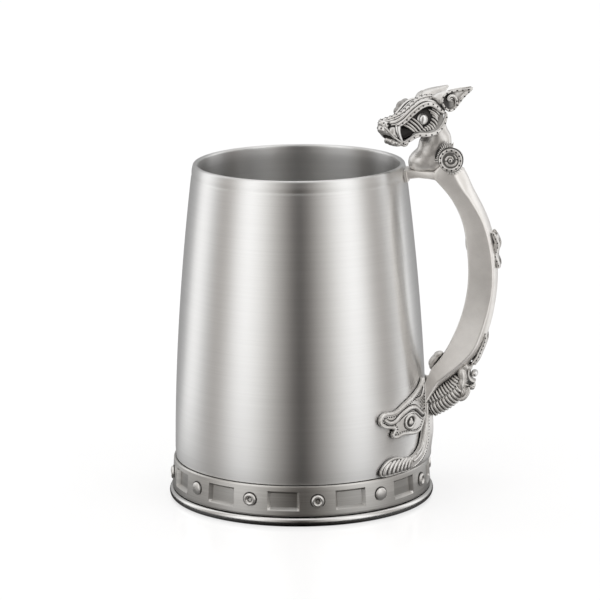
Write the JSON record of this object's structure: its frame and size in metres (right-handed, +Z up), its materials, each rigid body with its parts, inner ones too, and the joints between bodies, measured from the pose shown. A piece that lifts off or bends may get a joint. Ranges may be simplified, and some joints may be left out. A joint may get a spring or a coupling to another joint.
{
  "type": "beast-handled tankard",
  "caption": "Lidless tapered pewter drinking tankard with a panelled, studded base band and a curved handle topped by a fanged, long-eared beast's head.",
  "frame": {"origin": "on the cup's axis, in the plane that it stands on, at the middle of the flat underside", "axes": "+Z up along the cup's axis, +X from the cup towards the handle, -Y towards the beast's left side"},
  "size_m": [0.1262, 0.1, 0.1566],
  "materials": {
    "satin_pewter": "satin pewter, brushed round the cup, with dark patina in the recesses",
    "polished_pewter": "pewter buffed bright on raised edges and small trim",
    "aged_pewter": "pewter with dark patina left in its ribs and panels"
  },
  "bodies": {
    "root": {"barrel": "satin_pewter", "base_plate": "satin_pewter", "handle_bow": "satin_pewter", "handle_arm": "satin_pewter", "arm_pad": "satin_pewter", "neck": "satin_pewter", "skull": "satin_pewter", "lower_jaw": "satin_pewter", "left_ear": "satin_pewter", "right_ear": "satin_pewter", "back_fin": "satin_pewter", "back_scroll": "satin_pewter", "tail_leaf": "satin_pewter", "tail_curl": "satin_pewter", "root_leaf": "satin_pewter", "tail_spine": "satin_pewter", "left_wing": "satin_pewter", "right_wing": "satin_pewter", "left_fan": "satin_pewter", "right_fan": "satin_pewter", "ring_stud_1": "satin_pewter", "ring_stud_2": "satin_pewter", "ring_stud_3": "satin_pewter", "ring_stud_4": "satin_pewter", "ring_stud_5": "satin_pewter", "ring_stud_6": "satin_pewter", "ring_stud_7": "satin_pewter", "ring_stud_8": "satin_pewter", "foot_ring": "polished_pewter", "left_brow": "polished_pewter", "right_brow": "polished_pewter", "left_eye": "polished_pewter", "right_eye": "polished_pewter", "left_fang": "polished_pewter", "right_fang": "polished_pewter", "tail_bead": "polished_pewter", "dome_stud_1": "polished_pewter", "dome_stud_2": "polished_pewter", "dome_stud_3": "polished_pewter", "dome_stud_4": "polished_pewter", "base_band": "aged_pewter", "left_collar": "aged_pewter", "right_collar": "aged_pewter", "left_rosette": "aged_pewter", "right_rosette": "aged_pewter", "belly_ribs": "aged_pewter"}
  },
  "joints": []
}
